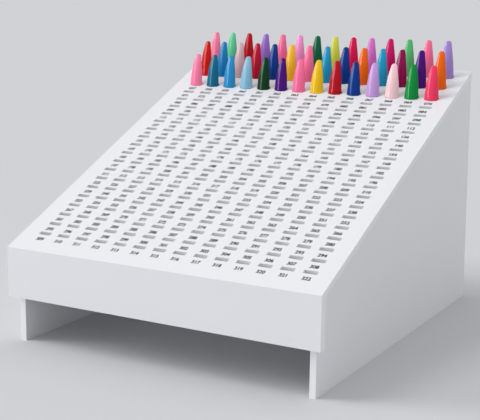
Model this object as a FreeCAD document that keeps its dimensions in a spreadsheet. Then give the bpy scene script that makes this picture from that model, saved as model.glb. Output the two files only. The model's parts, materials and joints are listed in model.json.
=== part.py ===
import FreeCAD, Part
import os
import Sketcher

# A display stand for nail polish samples. A sloping sheet, full of slots, meets an upright
# front board. Two side panels, which are also the legs, carry both, and a back panel ties
# them together under the top of the slope. Sample nails stand in the three rearmost rows:
# each has a tab that drops into a slot, and lifts straight out.
#
# The frame: +Z up, +X to the right as seen from the front, +Y to the back. The origin is
# on the surface that the stand rests on, under the middle of its outer box.

SIZES = {
    # Sloping sheet
    "stand_width": 307.0,
    "deck_run": 335.0,
    "deck_slope": 24.0,
    "deck_sheet": 5.0,
    # Front board
    "fascia_height": 45.0,
    "fascia_clearance": 41.5,
    "fascia_board": 8.0,
    # Side panels, and how far they reach behind the sloping sheet
    "side_sheet": 5.5,
    "side_inset": 6.8,
    "side_foot_reach": 30.0,
    "side_top_reach": 19.0,
    # Back panel
    "back_sheet": 5.0,
    "back_clearance": 41.5,
    # Slots: even columns between two margins, a field of numbered rows that ends with the
    # first row of sample nails, and the wider rows behind it
    "slot_width": 12.5,
    "slot_height": 4.3,
    "column_count": 14,
    "left_margin": 24.0,
    "right_margin": 21.0,
    "row_count": 19,
    "front_margin": 25.8,
    "rear_margin": 15.4,
    "tip_row_pitch": 22.5,
    # Sample nails: what all have, then each row's own height, and its lean in degrees
    "nail_overhang": 0.8,
    "nail_depth": 3.2,
    "nail_wall": 1.0,
    "nail_nose": 2.9,
    "nail_arch": 100.0,
    "nail_waist": 11.5,
    "nail_point": 6.1,
    "front_height": 32.0,
    "front_lean": 3.5,
    "middle_height": 35.5,
    "middle_lean": 0.0,
    "back_height": 35.5,
    "back_lean": -3.5,
    # The rim and the tab under each nail
    "rim_lip": 0.1,
    "rim_height": 1.0,
    "rim_cover": 0.35,
    "tab_length": 11.0,
    # Clearances
    "tab_end_gap": 0.45,
    "tab_face_gap": 0.15,
    "seat_gap": 0.2,
}

TIP_ROWS = ("front", "middle", "back")

doc = FreeCAD.newDocument("nail_polish_stand")
sizes = doc.addObject("Spreadsheet::Sheet", "sizes")
for line, (alias, size) in enumerate(SIZES.items(), start=1):
    sizes.set("A%d" % line, alias)
    sizes.set("B%d" % line, str(size))
    sizes.setAlias("B%d" % line, alias)
doc.recompute()

# Sizes and places that several pieces share, as expressions on the sheet
SLOPE = "(sizes.deck_slope * 1 deg)"
FRONT = "(-(sizes.deck_run + sizes.side_foot_reach) / 2)"
FRONT_EDGE = "(sizes.fascia_clearance + sizes.fascia_height)"
UPRIGHT_SHEET = "(sizes.deck_sheet / cos(%s))" % SLOPE
DECK_LENGTH = "(sizes.deck_run / cos(%s))" % SLOPE
SIDE_OUTER = "(sizes.stand_width / 2 - sizes.side_inset)"
SIDE_INNER = "(%s - sizes.side_sheet)" % SIDE_OUTER
FIRST_COLUMN = "(sizes.left_margin - sizes.stand_width / 2)"
COLUMNS_SPAN = "(sizes.stand_width - sizes.left_margin - sizes.right_margin)"
FIRST_TIP_ROW = ("(%s - sizes.rear_margin - %d * sizes.tip_row_pitch)"
                 % (DECK_LENGTH, len(TIP_ROWS) - 1))
HALF_NAIL = "(sizes.slot_width / 2 + sizes.nail_overhang)"


def number(expression):
    """What an expression on the sheet comes to now, in millimetres or degrees."""
    value = sizes.evalExpression(expression.replace("sizes.", ""))
    return float(getattr(value, "Value", value))


def place_of(corner):
    return FreeCAD.Vector(number(corner[0]), number(corner[1]), 0)


def underside(depth):
    """The height of the sloping sheet's underside, at a depth behind the front face."""
    return "(%s + %s * tan(%s) - %s)" % (FRONT_EDGE, depth, SLOPE, UPRIGHT_SHEET)


def tip_row_place(row):
    """How far up the slope a row of sample nails stands, counted from the front row."""
    return "(%s + %d * sizes.tip_row_pitch)" % (FIRST_TIP_ROW, row)


def bind(thing, **expressions):
    """Ties a feature's properties to expressions. Two underlines stand for a dot."""
    for name, expression in expressions.items():
        thing.setExpression(name.replace("__", "."), expression)


def new_body(name):
    body = doc.addObject("PartDesign::Body", name)
    body.Label = name
    return body


def new_sketch(body, name, role):
    sketch = body.newObject("Sketcher::SketchObject", name)
    planes = [plane for plane in body.Origin.OriginFeatures if plane.Role == role]
    sketch.AttachmentSupport = [(planes[0], "")]
    sketch.MapMode = "FlatFace"
    return sketch


def tilt_to_deck(sketch, height):
    """Lays an XY sketch parallel to the sloping sheet, at a height above its top face."""
    sketch.AttachmentOffset = FreeCAD.Placement(
        FreeCAD.Vector(0, 0, 0), FreeCAD.Rotation(FreeCAD.Vector(1, 0, 0), 1))
    bind(sketch, AttachmentOffset__Rotation__Angle=SLOPE,
         AttachmentOffset__Base__y="-%s * sin(%s)" % (height, SLOPE),
         AttachmentOffset__Base__z="%s * cos(%s)" % (height, SLOPE))


def pin(sketch, edge, end, corner):
    """Holds the end of an edge at a corner, measured from the sketch's origin."""
    for kind, expression in zip(("DistanceX", "DistanceY"), corner):
        held = sketch.addConstraint(
            Sketcher.Constraint(kind, -1, 1, edge, end, number(expression)))
        sketch.setExpression("Constraints[%d]" % held, expression)


def draw_outline(sketch, corners):
    """A closed outline through corners, each a pair of expressions. A corner with a third
    item starts an arc, which passes through that place on its way to the next corner."""
    edges = []
    for corner, following in zip(corners, corners[1:] + corners[:1]):
        start = place_of(corner)
        finish = place_of(following)
        if len(corner) == 2:
            edges.append((sketch.addGeometry(Part.LineSegment(start, finish)), 1, 2))
            continue
        edge = sketch.addGeometry(Part.Arc(start, place_of(corner[2]), finish))
        forward = sketch.getPoint(edge, 1).distanceToPoint(start) < 1e-6
        edges.append((edge, 1, 2) if forward else (edge, 2, 1))
    for corner, (edge, start, finish), following in zip(corners, edges, edges[1:] + edges[:1]):
        pin(sketch, edge, start, corner)
        sketch.addConstraint(
            Sketcher.Constraint("Coincident", edge, finish, following[0], following[1]))
        if len(corner) == 3:
            mark = sketch.addGeometry(Part.Point(place_of(corner[2])), True)
            pin(sketch, mark, 1, corner[2])
            sketch.addConstraint(Sketcher.Constraint("PointOnObject", mark, 1, edge))


def draw_rectangle(sketch, left, right, low, high):
    draw_outline(sketch, [(left, low), (right, low), (right, high), (left, high)])


def pad(body, name, sketch, length, symmetric=False, downward=False):
    feature = body.newObject("PartDesign::Pad", name)
    feature.Profile = sketch
    feature.SideType = "Symmetric" if symmetric else "One side"
    feature.Reversed = downward
    bind(feature, Length=length)
    doc.recompute()


def cut_through(body, name, sketch, symmetric=False):
    """A pocket that goes all the way, and has to take something away."""
    before = body.Shape.Volume
    feature = body.newObject("PartDesign::Pocket", name)
    feature.Profile = sketch
    feature.Type = "ThroughAll"
    feature.SideType = "Symmetric" if symmetric else "One side"
    doc.recompute()
    if feature.Shape.isNull() or feature.Shape.Volume > before - 0.001:
        raise RuntimeError(name + " takes nothing away")
    return feature


def cut_slots(body, name, first_row, rows, last_row):
    """A grid of slots, square to the sheet, in rows from one place up the slope to another."""
    sketch = new_sketch(body, name + "_slot", "XY_Plane")
    draw_rectangle(sketch,
                   "%s - sizes.slot_width / 2" % FIRST_COLUMN,
                   "%s + sizes.slot_width / 2" % FIRST_COLUMN,
                   "%s - sizes.slot_height / 2" % first_row,
                   "%s + sizes.slot_height / 2" % first_row)
    slot = cut_through(body, name + "_slot_cut", sketch)
    grid = body.newObject("PartDesign::LinearPattern", name + "_slots")
    grid.Originals = [slot]
    grid.Direction = (sketch, ["H_Axis"])
    grid.Direction2 = (sketch, ["V_Axis"])
    bind(grid, Occurrences="sizes.column_count", Length=COLUMNS_SPAN,
         Occurrences2=rows, Length2="%s - %s" % (last_row, first_row))
    body.Tip = grid
    doc.recompute()


def make_deck():
    """The sloping sheet, drawn lying flat with its front top edge on the X axis, and tipped
    up about that edge. Its front end is mitred to the front board."""
    body = new_body("display_deck")
    profile = new_sketch(body, "deck_profile", "YZ_Plane")
    mitre_drop = "(sizes.fascia_board * tan(%s) - %s)" % (SLOPE, UPRIGHT_SHEET)
    mitre = "(sizes.fascia_board * cos(%s) + %s * sin(%s))" % (SLOPE, mitre_drop, SLOPE)
    rear_mitre = "(%s - sizes.deck_sheet * tan(%s))" % (DECK_LENGTH, SLOPE)
    draw_outline(profile, [("0", "0"), (mitre, "-sizes.deck_sheet"),
                           (rear_mitre, "-sizes.deck_sheet"), (DECK_LENGTH, "0")])
    pad(body, "deck_plate", profile, "sizes.stand_width", symmetric=True)
    cut_slots(body, "numbered", "sizes.front_margin", "sizes.row_count", FIRST_TIP_ROW)
    cut_slots(body, "rear", tip_row_place(1), str(len(TIP_ROWS) - 1),
              tip_row_place(len(TIP_ROWS) - 1))
    body.Placement.Rotation = FreeCAD.Rotation(FreeCAD.Vector(1, 0, 0), 1)
    bind(body, Placement__Rotation__Angle=SLOPE,
         Placement__Base__y=FRONT, Placement__Base__z=FRONT_EDGE)
    return body


def make_fascia():
    """The upright front board, whose top edge is mitred to the sloping sheet."""
    body = new_body("front_fascia")
    profile = new_sketch(body, "fascia_profile", "YZ_Plane")
    draw_outline(profile, [("0", "sizes.fascia_clearance"),
                           ("sizes.fascia_board", "sizes.fascia_clearance"),
                           ("sizes.fascia_board", underside("sizes.fascia_board")),
                           ("0", FRONT_EDGE)])
    pad(body, "fascia_plate", profile, "sizes.stand_width", symmetric=True)
    bind(body, Placement__Base__y=FRONT)
    return body


def make_side(name, inner_place):
    """A side panel. It stands on the floor behind the front board, follows the underside
    of the sloping sheet and runs on behind it."""
    body = new_body(name)
    profile = new_sketch(body, name + "_profile", "YZ_Plane")
    draw_outline(profile, [("sizes.fascia_board", "0"),
                           ("sizes.deck_run + sizes.side_foot_reach", "0"),
                           ("sizes.deck_run + sizes.side_top_reach",
                            underside("sizes.deck_run")),
                           ("sizes.deck_run", underside("sizes.deck_run")),
                           ("sizes.fascia_board", underside("sizes.fascia_board"))])
    pad(body, name + "_plate", profile, "sizes.side_sheet")
    bind(body, Placement__Base__x=inner_place, Placement__Base__y=FRONT)
    return body


def make_back():
    """The back panel, between the sides, under the top end of the sloping sheet."""
    body = new_body("back_panel")
    profile = new_sketch(body, "back_profile", "YZ_Plane")
    inner_face = "(sizes.deck_run - sizes.back_sheet)"
    draw_outline(profile, [(inner_face, "sizes.back_clearance"),
                           ("sizes.deck_run", "sizes.back_clearance"),
                           ("sizes.deck_run", underside("sizes.deck_run")),
                           (inner_face, underside(inner_face))])
    pad(body, "back_plate", profile, "2 * " + SIDE_INNER, symmetric=True)
    bind(body, Placement__Base__y=FRONT)
    return body


def add_shell(body, row):
    """The nail itself: a C across, turned about an axis far behind it, so that it arches
    back towards its point. It starts below the sheet, where its foot is cut later."""
    lean = "(sizes.%s_lean * 1 deg)" % row
    section = new_sketch(body, row + "_section", "XY_Plane")
    bind(section, AttachmentOffset__Base__z="-sizes.nail_arch * sin(%s)" % lean)
    crown = "(-sizes.nail_nose - sizes.nail_arch * (1 - cos(%s)))" % lean
    inner_crown = "(%s + sizes.nail_wall)" % crown
    edge = "(%s + sizes.nail_depth)" % crown
    inner_half = "(%s - sizes.nail_wall)" % HALF_NAIL
    draw_outline(section, [("-" + HALF_NAIL, edge, ("0", crown)), (HALF_NAIL, edge),
                           (inner_half, edge, ("0", inner_crown)), ("-" + inner_half, edge)])
    axis_depth = "(%s + sizes.nail_arch)" % crown
    axis_ends = [("-" + HALF_NAIL, axis_depth), (HALF_NAIL, axis_depth)]
    axis = section.addGeometry(Part.LineSegment(*map(place_of, axis_ends)), True)
    pin(section, axis, 1, axis_ends[0])
    pin(section, axis, 2, axis_ends[1])
    shell = body.newObject("PartDesign::Revolution", row + "_shell")
    shell.Profile = section
    shell.ReferenceAxis = (section, ["Axis0"])
    shell.Midplane = True
    bind(shell, Angle="2.2 * asin((sizes.%s_height + sizes.nail_arch * abs(sin(%s)))"
         " / (sizes.nail_arch - sizes.nail_depth))" % (row, lean))
    doc.recompute()


def cut_almond(body, row):
    """Takes away what lies outside the nail's almond shape, seen from the front."""
    frame = new_sketch(body, row + "_almond", "XZ_Plane")
    apex = "sizes.%s_height" % row
    base = "(2 * sizes.rim_height)"
    shoulder = "(%s - sizes.nail_point / 2)" % apex
    waist = "((%s + %s) / 2)" % (base, shoulder)
    wide = "(2 * %s)" % HALF_NAIL
    high = "(2 * %s)" % apex
    draw_outline(frame, [
        ("-" + HALF_NAIL, base, ("-sizes.nail_waist / 2", waist)),
        ("-sizes.nail_point / 2", shoulder, ("0", apex)),
        ("sizes.nail_point / 2", shoulder, ("sizes.nail_waist / 2", waist)),
        (HALF_NAIL, base), (wide, base), (wide, high), ("-" + wide, high), ("-" + wide, base)])
    cut_through(body, row + "_almond_cut", frame, symmetric=True)


def cut_foot(body, row):
    """Cuts the foot of the shell to the slope of the sheet."""
    foot = new_sketch(body, row + "_foot", "XY_Plane")
    tilt_to_deck(foot, "sizes.seat_gap")
    reach = "(3 * %s)" % HALF_NAIL
    draw_rectangle(foot, "-" + reach, reach, "-" + reach, reach)
    cut_through(body, row + "_foot_cut", foot)


def add_rim(body, row):
    """The rim, a flat D around the foot of the shell, which covers the slot."""
    outline = new_sketch(body, row + "_rim_outline", "XY_Plane")
    tilt_to_deck(outline, "sizes.seat_gap")
    half = "(%s + sizes.rim_lip)" % HALF_NAIL
    front = "(-sizes.nail_nose / cos(%s) - sizes.rim_lip)" % SLOPE
    bow_end = "(%s + sizes.nail_depth)" % front
    rear = "(sizes.slot_height / 2 + sizes.rim_cover)"
    draw_outline(outline, [("-" + half, bow_end, ("0", front)), (half, bow_end),
                           (half, rear), ("-" + half, rear)])
    pad(body, row + "_rim", outline, "sizes.rim_height")


def add_tab(body, row):
    """The tab. It is upright in a slot that is square to the sheet, so it stands between
    the slot's upper rear lip and its lower front lip."""
    section = new_sketch(body, row + "_tab_section", "XY_Plane")
    middle = "(sizes.deck_sheet / 2 * sin(%s))" % SLOPE
    channel = "(sizes.slot_height * cos(%s) - sizes.deck_sheet * sin(%s))" % (SLOPE, SLOPE)
    half_thick = "(%s / 2 - sizes.tab_face_gap)" % channel
    half_wide = "(sizes.slot_width / 2 - sizes.tab_end_gap)"
    root = "(%s * tan(%s) + sizes.seat_gap + sizes.rim_height / 2)" % (middle, SLOPE)
    bind(section, AttachmentOffset__Base__z=root)
    draw_rectangle(section, "-" + half_wide, half_wide,
                   "%s - %s" % (middle, half_thick), "%s + %s" % (middle, half_thick))
    pad(body, row + "_tab", section, "sizes.tab_length", downward=True)


def make_moulding(row):
    """The moulding that every sample nail of a row is a copy of. Its origin is the middle
    of its slot's mouth."""
    body = new_body(row + "_moulding")
    add_shell(body, row)
    cut_foot(body, row)
    cut_almond(body, row)
    add_rim(body, row)
    add_tab(body, row)
    return body


def make_tip(moulding, row, column):
    """A sample nail, standing in its slot."""
    name = "nail_tip_%s_%02d" % (TIP_ROWS[row], column + 1)
    tip = doc.addObject("Part::Compound", name)
    tip.Label = name
    tip.Links = [moulding]
    across = "%d * %s / (sizes.column_count - 1)" % (column, COLUMNS_SPAN)
    up_slope = tip_row_place(row)
    bind(tip,
         Placement__Base__x="%s + %s" % (FIRST_COLUMN, across),
         Placement__Base__y="%s + %s * cos(%s)" % (FRONT, up_slope, SLOPE),
         Placement__Base__z="%s + %s * sin(%s)" % (FRONT_EDGE, up_slope, SLOPE))
    return tip


def write_parts(parts):
    """Checks every object of the document and every part, then writes the parts."""
    for thing in doc.Objects:
        if "Invalid" in thing.State or "Error" in thing.State:
            raise RuntimeError(thing.Name + " failed")
    for part in parts:
        if part.Shape.isNull() or not part.Shape.isValid():
            raise RuntimeError(part.Label + " has no valid shape")
    os.makedirs("parts", exist_ok=True)
    for part in parts:
        part.Shape.exportStep("parts/%s.step" % part.Label)
        box = part.Shape.BoundBox
        print("%-20s %9.1f mm3  z %6.1f to %6.1f"
              % (part.Label, part.Shape.Volume, box.ZMin, box.ZMax))


def main():
    parts = [make_deck(), make_fascia(),
             make_side("side_panel_left", "-" + SIDE_OUTER),
             make_side("side_panel_right", SIDE_INNER),
             make_back()]
    columns = int(number("sizes.column_count"))
    for row, row_name in enumerate(TIP_ROWS):
        moulding = make_moulding(row_name)
        for column in range(columns):
            parts.append(make_tip(moulding, row, column))
    doc.recompute()
    write_parts(parts)


main()
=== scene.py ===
import json
import math

import bmesh
import bpy
from bpy.props import FloatProperty, FloatVectorProperty, IntProperty, PointerProperty
from mathutils import Matrix, Vector


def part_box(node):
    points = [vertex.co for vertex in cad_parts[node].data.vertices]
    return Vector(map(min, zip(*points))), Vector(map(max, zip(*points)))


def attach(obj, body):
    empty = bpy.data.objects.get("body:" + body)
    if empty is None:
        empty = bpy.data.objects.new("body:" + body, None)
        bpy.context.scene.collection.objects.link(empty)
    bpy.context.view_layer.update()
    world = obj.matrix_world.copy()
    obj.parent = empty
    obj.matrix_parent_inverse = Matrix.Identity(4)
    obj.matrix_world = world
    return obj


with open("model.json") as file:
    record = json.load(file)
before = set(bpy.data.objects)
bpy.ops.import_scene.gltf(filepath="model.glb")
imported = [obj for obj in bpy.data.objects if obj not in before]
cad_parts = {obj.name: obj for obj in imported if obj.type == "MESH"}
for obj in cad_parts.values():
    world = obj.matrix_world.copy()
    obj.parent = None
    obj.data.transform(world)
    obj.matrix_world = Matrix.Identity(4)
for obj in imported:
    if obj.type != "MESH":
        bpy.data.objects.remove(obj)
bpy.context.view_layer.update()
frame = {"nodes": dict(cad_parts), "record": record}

# The looks of a display stand for nail polish: a white slotted board on two side panels,
# printed numbers in front of its slots, and painted sample nails in its rear rows.

bl_info = {
    "name": "Nail Polish Display Stand",
    "version": (1, 0, 0),
    "blender": (4, 5, 0),
    "location": "View3D > Sidebar > Nail Stand",
    "description": "Finishes the sheets, nails and printed numbers of a display stand",
    "category": "Object",
}

MM = 0.001

# The picture that the camera is set up for, in pixels
PICTURE_WIDTH = 480

# The paints, as they look in plain light, in 0 to 255
PAINTS = {
    "rose": (255, 131, 170), "hot_pink": (255, 114, 160), "coral": (245, 62, 102),
    "blush": (248, 208, 214), "dusty_pink": (212, 178, 184), "orchid_pink": (255, 152, 210),
    "orchid": (222, 118, 209), "magenta": (214, 10, 106), "plum": (148, 0, 78),
    "raspberry": (225, 16, 84), "crimson": (190, 10, 46), "red": (186, 6, 28),
    "scarlet": (214, 18, 12), "orange": (246, 104, 8), "amber": (250, 189, 43),
    "yellow": (244, 194, 18), "lime": (216, 219, 77), "mint": (102, 211, 161),
    "leaf": (91, 190, 119), "green": (0, 140, 58), "forest": (0, 60, 24), "pine": (0, 102, 68),
    "teal": (0, 106, 140), "cyan": (30, 156, 199), "sky": (40, 145, 205),
    "pale_blue": (138, 190, 218), "cerulean": (20, 128, 192), "royal_blue": (0, 56, 140),
    "purple": (74, 6, 122), "amethyst": (153, 109, 204), "lavender": (169, 141, 214),
    "lilac": (199, 157, 222),
}

FRONT_TO_BACK = (0.0, 1.0, 0.0)
LEFT_TO_RIGHT = (1.0, 0.0, 0.0)

# How squarely a sheet's broad face looks along its axis, and how far to the back a nail's
# bare inner face looks, both as cosines
BROAD_FACE = 0.9
INNER_FACE = 0.25

# Sizes of the soft noise in the materials, in spots to a metre
CLOUDS = 14.0
RUBBED_PATCHES = 45.0
POOLS = 120.0
THIN_INK = 1500.0
PAPER_FIBRES = 90.0

# Saw lines across an edge, in lines to a metre along each axis
SAW_LINES = (900.0, 900.0, 60.0)

# The length of a brush stroke, in stroke widths
STROKE_LENGTH = 1 / 0.06

# The middle of the ink, in parts of its thickness, which keeps it clear of the sheet
INK_MIDDLE = 0.6

# How finely a digit's curves and the round floor are divided
CURVE_STEPS = 4
FLOOR_SIDES = 96

# The point that the lamps face, and how far off those hang whose distance has no effect
LAMP_AIM = Vector((0, 0, 150 * MM))
FAR_LAMP_DISTANCE = 3.0


def linear(colour):
    """A colour in 0 to 255, as a screen shows it, turned into the light it stands for."""
    def channel(value):
        value /= 255
        return value / 12.92 if value <= 0.04045 else ((value + 0.055) / 1.055) ** 2.4
    return tuple(channel(value) for value in colour[:3])


def direction(azimuth, elevation):
    """The way from the stand to a place, by its turn to the right of the front and its
    height as an angle."""
    return Vector((math.sin(azimuth) * math.cos(elevation),
                   -math.cos(azimuth) * math.cos(elevation), math.sin(elevation)))


def mount(name):
    """Where a mount of the record is, and the way it faces."""
    found = [m for m in frame["record"]["mounts"] if m["name"] == name][0]
    return Vector(found["pos_m"]), Vector(found["axis"]).normalized()


FIRST_SLOT, DECK_UP = mount("empty_slot")
UP_SLOPE = Vector((0, DECK_UP.z, -DECK_UP.y))

# Each sheet, and the direction that its broad faces look in
SHEET_FACES = {
    "display_deck": tuple(DECK_UP),
    "front_fascia": FRONT_TO_BACK,
    "side_panel_left": LEFT_TO_RIGHT,
    "side_panel_right": LEFT_TO_RIGHT,
    "back_panel": FRONT_TO_BACK,
}


class StandFinish(bpy.types.PropertyGroup):
    """The white sheets."""
    sheet_colour: FloatVectorProperty(
        name="Sheet colour", description="Satin white of the broad faces",
        subtype="COLOR", size=3, min=0, max=1, default=linear((235, 236, 240)))
    edge_colour: FloatVectorProperty(
        name="Edge colour", description="Sawn edges and the walls of the slots",
        subtype="COLOR", size=3, min=0, max=1, default=linear((246, 247, 250)))
    sheet_roughness: FloatProperty(
        name="Sheet roughness", description="How matt the broad faces are",
        subtype="FACTOR", min=0, max=1, default=0.42)
    rubbing: FloatProperty(
        name="Rubbing", description="How much the roughness varies over a face",
        min=0, max=1, default=0.12)
    edge_roughness: FloatProperty(
        name="Edge roughness", description="How much rougher the sawn edges are",
        min=0, max=1, default=0.25)
    grain: FloatProperty(
        name="Grain", description="Size of the fine grain moulded into the sheet",
        subtype="DISTANCE", unit="LENGTH", default=0.35 * MM)


class NailFinish(bpy.types.PropertyGroup):
    """The sample nails."""
    lacquer_roughness: FloatProperty(
        name="Lacquer roughness", description="How soft the highlights on the paint are",
        subtype="FACTOR", min=0, max=1, default=0.22)
    coat: FloatProperty(
        name="Coat", description="How much clear gloss lies over the paint",
        subtype="FACTOR", min=0, max=1, default=0.22)
    plastic_colour: FloatVectorProperty(
        name="Plastic colour", description="Bare moulded plastic inside the nail",
        subtype="COLOR", size=3, min=0, max=1, default=linear((226, 224, 216)))
    brush_width: FloatProperty(
        name="Brush width", description="Spacing of the strokes that the brush leaves",
        subtype="DISTANCE", unit="LENGTH", default=1.2 * MM)


class NumberPrint(bpy.types.PropertyGroup):
    """The numbers printed in front of the slots."""
    rows: IntProperty(
        name="Rows", description="Rows of slots that carry numbers", min=1, default=19)
    columns: IntProperty(
        name="Columns", description="Slots in each row", min=1, default=14)
    front_number: IntProperty(
        name="Front number", description="Number at the left end of the front row",
        default=309)
    row_pitch: FloatProperty(
        name="Row pitch", description="From one row of slots to the next, up the slope",
        subtype="DISTANCE", unit="LENGTH", default=15.584 * MM)
    height: FloatProperty(
        name="Height", description="Height of a digit",
        subtype="DISTANCE", unit="LENGTH", default=4.3 * MM)
    width: FloatProperty(
        name="Width", description="Width of three digits",
        subtype="DISTANCE", unit="LENGTH", default=8.0 * MM)
    weight: FloatProperty(
        name="Weight", description="How far the strokes are widened, in font heights",
        default=0.036)
    drop: FloatProperty(
        name="Drop", description="From the middle of a slot down to its number",
        subtype="DISTANCE", unit="LENGTH", default=8.6 * MM)
    ink_height: FloatProperty(
        name="Ink height", description="How far the ink stands above the sheet",
        subtype="DISTANCE", unit="LENGTH", default=0.03 * MM)
    ink_colour: FloatVectorProperty(
        name="Ink colour", description="Screen-printed ink",
        subtype="COLOR", size=3, min=0, max=1, default=linear((12, 12, 16)))


class StageLook(bpy.types.PropertyGroup):
    """The floor, the lights and the camera."""
    floor_colour: FloatVectorProperty(
        name="Floor colour", description="Plain pale floor",
        subtype="COLOR", size=3, min=0, max=1, default=linear((210, 211, 214)))
    floor_radius: FloatProperty(
        name="Floor radius", description="Radius of the round floor",
        subtype="DISTANCE", unit="LENGTH", default=6.0)
    sky_strength: FloatProperty(
        name="Sky strength", description="Even light from all round", min=0, default=0.65)
    key_strength: FloatProperty(
        name="Key strength", description="Light of the upper lamp, in watts to a square metre",
        min=0, default=0.6)
    key_azimuth: FloatProperty(
        name="Key azimuth", description="The upper lamp's turn to the right of the front",
        subtype="ANGLE", unit="ROTATION", default=math.radians(-60))
    key_elevation: FloatProperty(
        name="Key elevation", description="The upper lamp's height above the floor",
        subtype="ANGLE", unit="ROTATION", default=math.radians(60))
    key_spread: FloatProperty(
        name="Key spread", description="How wide the upper lamp looks, which softens shadows",
        subtype="ANGLE", unit="ROTATION", default=math.radians(24))
    side_strength: FloatProperty(
        name="Side strength", description="Light of the lower lamp, which brightens each "
        "nail's left flank, in watts to a square metre", min=0, default=1.3)
    side_azimuth: FloatProperty(
        name="Side azimuth", description="The lower lamp's turn to the right of the front",
        subtype="ANGLE", unit="ROTATION", default=math.radians(-66))
    side_elevation: FloatProperty(
        name="Side elevation", description="The lower lamp's height above the floor",
        subtype="ANGLE", unit="ROTATION", default=math.radians(24))
    side_spread: FloatProperty(
        name="Side spread", description="How wide the lower lamp looks",
        subtype="ANGLE", unit="ROTATION", default=math.radians(26))
    strip_power: FloatProperty(
        name="Strip power", description="Tall narrow lamp that draws a line on each nail",
        subtype="POWER", unit="POWER", min=0, default=18.0)
    strip_width: FloatProperty(
        name="Strip width", description="Width of the tall narrow lamp",
        subtype="DISTANCE", unit="LENGTH", default=0.3)
    strip_height: FloatProperty(
        name="Strip height", description="Height of the tall narrow lamp",
        subtype="DISTANCE", unit="LENGTH", default=1.25)
    strip_distance: FloatProperty(
        name="Strip distance", description="From the stand to the tall narrow lamp",
        subtype="DISTANCE", unit="LENGTH", default=1.6)
    strip_azimuth: FloatProperty(
        name="Strip azimuth", description="That lamp's turn to the right of the front",
        subtype="ANGLE", unit="ROTATION", default=math.radians(-50))
    strip_elevation: FloatProperty(
        name="Strip elevation", description="That lamp's height above the floor",
        subtype="ANGLE", unit="ROTATION", default=math.radians(11))
    azimuth: FloatProperty(
        name="Azimuth", description="Camera's turn to the right of the front",
        subtype="ANGLE", unit="ROTATION", default=math.radians(29.095))
    elevation: FloatProperty(
        name="Elevation", description="Camera's height above the floor, as an angle",
        subtype="ANGLE", unit="ROTATION", default=math.radians(11.269))
    roll: FloatProperty(
        name="Roll", description="Camera's turn about its own line of sight",
        subtype="ANGLE", unit="ROTATION", default=math.radians(0.758))
    distance: FloatProperty(
        name="Distance", description="From the camera to the point it looks at",
        subtype="DISTANCE", unit="LENGTH", default=1072.8 * MM)
    target: FloatVectorProperty(
        name="Target", description="The point that the camera looks at",
        subtype="XYZ", unit="LENGTH", size=3, default=(-0.46 * MM, -35.26 * MM, 111.54 * MM))
    focal_pixels: FloatProperty(
        name="Focal length in pixels", description="Focal length, in pixels of the picture",
        default=1158.07)


class StandSettings(bpy.types.PropertyGroup):
    """All settings of the stand."""
    finish: PointerProperty(type=StandFinish)
    nails: PointerProperty(type=NailFinish)
    numbers: PointerProperty(type=NumberPrint)
    stage: PointerProperty(type=StageLook)


class Signal:
    """An output of a material's node, so that shader maths can be written as sums."""

    def __init__(self, tree, socket=None):
        self.tree = tree
        self.socket = socket

    def node(self, kind, settings=None, output=0, **inputs):
        """Adds a node, with its settings first, and returns one of its outputs, by name or
        number. An input's name has underlines for spaces, or is the letter i and a number
        where two inputs share a name."""
        added = self.tree.nodes.new(kind)
        for name, value in (settings or {}).items():
            setattr(added, name, value)
        for name, value in inputs.items():
            by_number = name[0] == "i" and name[1:].isdigit()
            socket = added.inputs[int(name[1:]) if by_number else name.replace("_", " ")]
            if isinstance(value, Signal):
                self.tree.links.new(value.socket, socket)
            else:
                socket.default_value = value
        return Signal(self.tree, added.outputs[output])

    def _maths(self, operation, first, second):
        return self.node("ShaderNodeMath", {"operation": operation}, i0=first, i1=second)

    def __add__(self, other):
        return self._maths("ADD", self, other)

    def __radd__(self, other):
        return self._maths("ADD", other, self)

    def __rsub__(self, other):
        return self._maths("SUBTRACT", other, self)

    def __mul__(self, other):
        return self._maths("MULTIPLY", self, other)

    def __rmul__(self, other):
        return self._maths("MULTIPLY", other, self)

    def __gt__(self, other):
        return self._maths("GREATER_THAN", self, other)

    def __abs__(self):
        return self.node("ShaderNodeMath", {"operation": "ABSOLUTE"}, i0=self)


def new_material(name):
    """A material whose only node so far is its output."""
    material = bpy.data.materials.new(name)
    material.use_nodes = True
    material.node_tree.nodes.clear()
    return material, Signal(material.node_tree)


def close_material(material, shader):
    """Leads a shader to the material's output."""
    output = material.node_tree.nodes.new("ShaderNodeOutputMaterial")
    material.node_tree.links.new(shader.socket, output.inputs["Surface"])
    return material


def colour_mix(make, factor, first, second):
    """A mix of two colours, each four numbers or a signal. The node's sockets for colours
    share their names with others, so they are given by number."""
    return make.node("ShaderNodeMix", {"data_type": "RGBA"}, output=2,
                     i0=factor, i6=first, i7=second)


def dot(make, vector, axis):
    """How far a vector points along a fixed axis."""
    return make.node("ShaderNodeVectorMath", {"operation": "DOT_PRODUCT"}, output="Value",
                     i0=vector, i1=axis)


def noise(make, place, scale, detail, roughness=0.5):
    """Soft noise, with so many spots to a metre."""
    return make.node("ShaderNodeTexNoise", Vector=place, Scale=scale, Detail=detail,
                     Roughness=roughness)


def stretched(make, place, scale):
    """A place, with its axes stretched each by its own scale."""
    return make.node("ShaderNodeVectorMath", {"operation": "MULTIPLY"}, i0=place, i1=scale)


def opaque(colour, shade=1.0):
    """A colour, made lighter or darker, with the full opacity that a socket asks for."""
    return tuple(channel * shade for channel in colour) + (1.0,)


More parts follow.
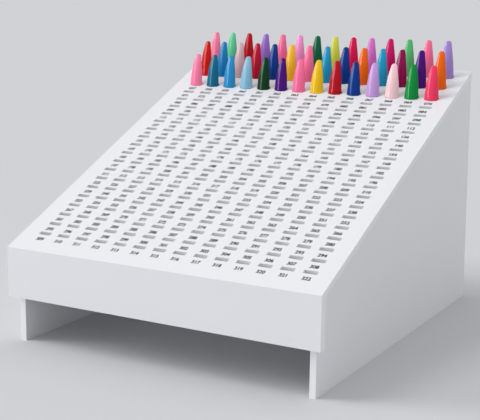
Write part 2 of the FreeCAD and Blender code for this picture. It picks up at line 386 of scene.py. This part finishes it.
def sheet_material(name, look, face):
    """Satin white sheet: a fine moulded grain, faint clouds in its white, rubbed patches
    in its sheen, and sawn edges with fine lines across them."""
    material, make = new_material(name)
    place = make.node("ShaderNodeTexCoord", output="Object")
    normal = make.node("ShaderNodeTexCoord", output="Normal")
    edge = 1 - (abs(dot(make, normal, face)) > BROAD_FACE)
    cloud = noise(make, place, scale=CLOUDS, detail=2.0)
    rubbed = noise(make, place, scale=RUBBED_PATCHES, detail=4.0, roughness=0.6)
    white = colour_mix(make, cloud, opaque(look.sheet_colour, shade=0.975),
                       opaque(look.sheet_colour))
    sawn = noise(make, stretched(make, place, SAW_LINES), scale=1.0, detail=2.0)
    sawn_white = colour_mix(make, sawn, opaque(look.edge_colour, shade=0.93),
                            opaque(look.edge_colour))
    colour = colour_mix(make, edge, white, sawn_white)
    roughness = (look.sheet_roughness - look.rubbing / 2 + look.rubbing * rubbed
                 + look.edge_roughness * edge)
    grain = noise(make, place, scale=1 / look.grain, detail=2.0)
    relief = grain * (1 - edge) + sawn * edge * 2.0
    bump = make.node("ShaderNodeBump", Strength=0.12, Distance=0.05 * MM, Height=relief)
    shader = make.node("ShaderNodeBsdfPrincipled", Base_Color=colour, Roughness=roughness,
                       Normal=bump, IOR=1.47)
    return close_material(material, shader)


def nail_material(name, colour, look):
    """Nail lacquer over moulded plastic. The brush leaves faint strokes along the nail,
    and the hollow back, which faces away from the front, stays bare."""
    material, make = new_material(name)
    place = make.node("ShaderNodeTexCoord", output="Object")
    normal = make.node("ShaderNodeTexCoord", output="Normal")
    bare = dot(make, normal, FRONT_TO_BACK) > INNER_FACE
    across = 1 / look.brush_width
    along = across / STROKE_LENGTH
    strokes = noise(make, stretched(make, place, (across, across, along)), scale=1.0,
                    detail=2.0)
    pool = noise(make, place, scale=POOLS, detail=2.0)
    paint = colour_mix(make, strokes, opaque(colour, shade=0.94), opaque(colour, shade=1.03))
    plastic = colour_mix(make, pool, opaque(look.plastic_colour, shade=0.94),
                         opaque(look.plastic_colour))
    surface = colour_mix(make, bare, paint, plastic)
    roughness = look.lacquer_roughness + 0.06 * pool + 0.2 * bare
    relief = strokes + 0.5 * pool
    bump = make.node("ShaderNodeBump", Strength=0.15, Distance=0.1 * MM, Height=relief)
    shader = make.node("ShaderNodeBsdfPrincipled", Base_Color=surface, Roughness=roughness,
                       Specular_IOR_Level=0.05, Coat_Weight=look.coat - look.coat * bare,
                       Coat_Roughness=0.03, Coat_IOR=1.5, Normal=bump)
    return close_material(material, shader)


def ink_material(look):
    """Screen-printed black ink, a little thin in places."""
    material, make = new_material("number_ink")
    place = make.node("ShaderNodeTexCoord", output="Object")
    thin = noise(make, place, scale=THIN_INK, detail=3.0)
    colour = colour_mix(make, thin, opaque(look.ink_colour),
                        opaque(look.ink_colour, shade=1.8))
    shader = make.node("ShaderNodeBsdfPrincipled", Base_Color=colour,
                       Roughness=0.6 + 0.15 * thin, Specular_IOR_Level=0.2)
    return close_material(material, shader)


def floor_material(look):
    """Pale paper, with hardly visible fibres."""
    material, make = new_material("floor_paper")
    place = make.node("ShaderNodeTexCoord", output="Object")
    fibres = noise(make, place, scale=PAPER_FIBRES, detail=4.0, roughness=0.6)
    colour = colour_mix(make, fibres, opaque(look.floor_colour, shade=0.99),
                        opaque(look.floor_colour, shade=1.01))
    shader = make.node("ShaderNodeBsdfPrincipled", Base_Color=colour, Roughness=0.8,
                       Specular_IOR_Level=0.0)
    return close_material(material, shader)


def assign(node, material):
    """Gives a CAD node one material, and leaves its mesh as it is."""
    mesh = frame["nodes"][node].data
    mesh.materials.clear()
    mesh.materials.append(material)


def new_object(name, data):
    """An object in the scene, made of a mesh, a lamp or a camera."""
    made = bpy.data.objects.new(name, data)
    bpy.context.scene.collection.objects.link(made)
    return made


def number_solid(text, weight, scale):
    """A number as a solid, centred on the origin and lying in the XY plane. It is one font
    height thick before the scale is applied."""
    curve = bpy.data.curves.new("number", "FONT")
    curve.body = text
    curve.align_x = "CENTER"
    curve.align_y = "CENTER"
    curve.offset = weight
    curve.extrude = 0.5
    curve.resolution_u = CURVE_STEPS
    shape = bpy.data.objects.new("number", curve)
    bpy.context.scene.collection.objects.link(shape)
    bpy.context.view_layer.update()
    mesh = bpy.data.meshes.new_from_object(shape)
    bpy.data.objects.remove(shape)
    bpy.data.curves.remove(curve)
    mesh.transform(Matrix.Diagonal((*scale, 1)))
    return mesh


def number_scale(look):
    """What turns the font's own units into the print's width, height and thickness."""
    trial = number_solid("000", look.weight, (1, 1, 1))
    spans = [max(v.co[i] for v in trial.vertices) - min(v.co[i] for v in trial.vertices)
             for i in range(3)]
    bpy.data.meshes.remove(trial)
    return look.width / spans[0], look.height / spans[1], look.ink_height / spans[2]


def print_row(row, look, scale, material, column_pitch):
    """One row of numbers, as one piece that lies on the sheet."""
    print_mesh = bmesh.new()
    lie_down = Matrix((Vector((1, 0, 0)), UP_SLOPE, DECK_UP)).transposed().to_4x4()
    left = FIRST_SLOT + UP_SLOPE * (row * look.row_pitch - look.drop)
    for column in range(look.columns):
        value = look.front_number - row * look.columns + column
        solid = number_solid("%03d" % value, look.weight, scale)
        centre = (left + Vector((column * column_pitch, 0, 0))
                  + DECK_UP * look.ink_height * INK_MIDDLE)
        solid.transform(Matrix.Translation(centre) @ lie_down)
        print_mesh.from_mesh(solid)
        bpy.data.meshes.remove(solid)
    name = "numbers_row_%02d" % (row + 1)
    mesh = bpy.data.meshes.new(name)
    print_mesh.to_mesh(mesh)
    print_mesh.free()
    mesh.materials.append(material)
    return new_object(name, mesh)


class STAND_OT_sheets(bpy.types.Operator):
    """Finishes the white sheets"""
    bl_idname = "stand.finish_sheets"
    bl_label = "Finish Sheets"

    def execute(self, context):
        look = context.scene.nail_stand.finish
        for node, face in SHEET_FACES.items():
            assign(node, sheet_material(node + "_white", look, face))
        return {"FINISHED"}


class STAND_OT_nails(bpy.types.Operator):
    """Paints the sample nails"""
    bl_idname = "stand.paint_nails"
    bl_label = "Paint Nails"

    def execute(self, context):
        look = context.scene.nail_stand.nails
        paints = {name: nail_material("lacquer_" + name, linear(colour), look)
                  for name, colour in PAINTS.items()}
        for part in frame["record"]["subparts"]:
            if part["material_slot"].startswith("paint_"):
                assign(part["node"], paints[part["material_slot"][len("paint_"):]])
        return {"FINISHED"}


class STAND_OT_numbers(bpy.types.Operator):
    """Prints the numbers in front of the slots"""
    bl_idname = "stand.print_numbers"
    bl_label = "Print Numbers"

    def execute(self, context):
        look = context.scene.nail_stand.numbers
        material = ink_material(look)
        scale = number_scale(look)
        first_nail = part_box("nail_tip_front_01")[0]
        last_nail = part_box("nail_tip_front_%02d" % look.columns)[0]
        column_pitch = (last_nail.x - first_nail.x) / (look.columns - 1)
        for row in range(look.rows):
            numbers = print_row(row, look, scale, material, column_pitch)
            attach(numbers, "stand")
        return {"FINISHED"}


class STAND_OT_stage(bpy.types.Operator):
    """Sets up the floor, the lights and the camera"""
    bl_idname = "stand.set_stage"
    bl_label = "Set Stage"

    def execute(self, context):
        look = context.scene.nail_stand.stage
        self.lay_floor(look)
        self.light(context.scene, look)
        self.aim_camera(context.scene, look)
        context.scene.view_settings.view_transform = "Standard"
        return {"FINISHED"}

    def lay_floor(self, look):
        disc = bmesh.new()
        bmesh.ops.create_circle(disc, cap_ends=True, segments=FLOOR_SIDES,
                               radius=look.floor_radius)
        mesh = bpy.data.meshes.new("floor")
        disc.to_mesh(mesh)
        disc.free()
        mesh.materials.append(floor_material(look))
        new_object("floor", mesh)

    def light(self, scene, look):
        self.fill_sky(scene, look)
        self.far_lamp("key_lamp", look.key_strength, look.key_spread, look.key_azimuth,
                      look.key_elevation)
        self.far_lamp("side_lamp", look.side_strength, look.side_spread, look.side_azimuth,
                      look.side_elevation)
        self.strip_lamp(look)

    def fill_sky(self, scene, look):
        """Even light from all round. The eye, mirrors and clear pieces see it as bright as
        the floor, so that the floor has no visible edge."""
        world = bpy.data.worlds.new("studio")
        world.use_nodes = True
        world.node_tree.nodes.clear()
        make = Signal(world.node_tree)
        seen = make.node("ShaderNodeLightPath", output="Is Camera Ray")
        mirrored = make.node("ShaderNodeLightPath", output="Is Glossy Ray")
        let_through = make.node("ShaderNodeLightPath", output="Is Transmission Ray")
        sky = make.node("ShaderNodeBackground", Color=(1, 1, 1, 1),
                        Strength=look.sky_strength)
        floor_light = (look.sky_strength
                       + look.key_strength * math.sin(look.key_elevation) / math.pi
                       + look.side_strength * math.sin(look.side_elevation) / math.pi)
        backdrop = make.node("ShaderNodeBackground", Color=opaque(look.floor_colour),
                             Strength=floor_light)
        both = make.node("ShaderNodeMixShader", i0=seen + mirrored + let_through, i1=sky,
                         i2=backdrop)
        output = world.node_tree.nodes.new("ShaderNodeOutputWorld")
        world.node_tree.links.new(both.socket, output.inputs["Surface"])
        scene.world = world

    def far_lamp(self, name, strength, spread, azimuth, elevation):
        """A lamp so far away that it lights everything alike."""
        lamp = bpy.data.lights.new(name, "SUN")
        lamp.energy = strength
        lamp.angle = spread
        self.hang(lamp, azimuth, elevation, FAR_LAMP_DISTANCE)

    def strip_lamp(self, look):
        """A tall soft box that shows only in reflections, as a line on each nail."""
        lamp = bpy.data.lights.new("strip_softbox", "AREA")
        lamp.shape = "RECTANGLE"
        lamp.size = look.strip_width
        lamp.size_y = look.strip_height
        lamp.energy = look.strip_power
        made = self.hang(lamp, look.strip_azimuth, look.strip_elevation, look.strip_distance)
        made.visible_diffuse = False

    def hang(self, lamp, azimuth, elevation, distance):
        """Hangs a lamp at a distance from the stand, facing it."""
        way = direction(azimuth, elevation)
        made = new_object(lamp.name, lamp)
        made.location = LAMP_AIM + way * distance
        made.rotation_euler = way.to_track_quat("Z", "Y").to_euler()
        return made

    def aim_camera(self, scene, look):
        away = direction(look.azimuth, look.elevation)
        right = Vector((0, 0, 1)).cross(away).normalized()
        up = away.cross(right)
        turned_right = right * math.cos(look.roll) + up * math.sin(look.roll)
        turned_up = up * math.cos(look.roll) - right * math.sin(look.roll)
        camera = bpy.data.cameras.new("photo_camera")
        camera.sensor_fit = "HORIZONTAL"
        camera.lens = look.focal_pixels * camera.sensor_width / PICTURE_WIDTH
        made = new_object("photo_camera", camera)
        turn = Matrix((turned_right, turned_up, away)).transposed().to_4x4()
        made.matrix_world = Matrix.Translation(Vector(look.target) + away * look.distance) @ turn
        scene.camera = made


class STAND_PT_panel(bpy.types.Panel):
    """Lists the steps that dress the stand, each with its settings"""
    bl_idname = "STAND_PT_panel"
    bl_label = "Nail Stand"
    bl_space_type = "VIEW_3D"
    bl_region_type = "UI"
    bl_category = "Nail Stand"

    def draw(self, context):
        settings = context.scene.nail_stand
        for step, group_name in STEPS.items():
            box = self.layout.box()
            box.operator(step.bl_idname)
            group = getattr(settings, group_name)
            for name in type(group).__annotations__:
                box.prop(group, name)


# Each step, and the group of settings that it reads
STEPS = {
    STAND_OT_stage: "stage",
    STAND_OT_sheets: "finish",
    STAND_OT_nails: "nails",
    STAND_OT_numbers: "numbers",
}
CLASSES = (StandFinish, NailFinish, NumberPrint, StageLook, StandSettings, *STEPS,
           STAND_PT_panel)


def register():
    for made in CLASSES:
        bpy.utils.register_class(made)
    bpy.types.Scene.nail_stand = PointerProperty(type=StandSettings)


def unregister():
    del bpy.types.Scene.nail_stand
    for made in reversed(CLASSES):
        bpy.utils.unregister_class(made)


def main():
    register()
    bpy.ops.stand.set_stage()
    bpy.ops.stand.finish_sheets()
    bpy.ops.stand.paint_nails()
    bpy.ops.stand.print_numbers()


if __name__ == "__main__":
    main()
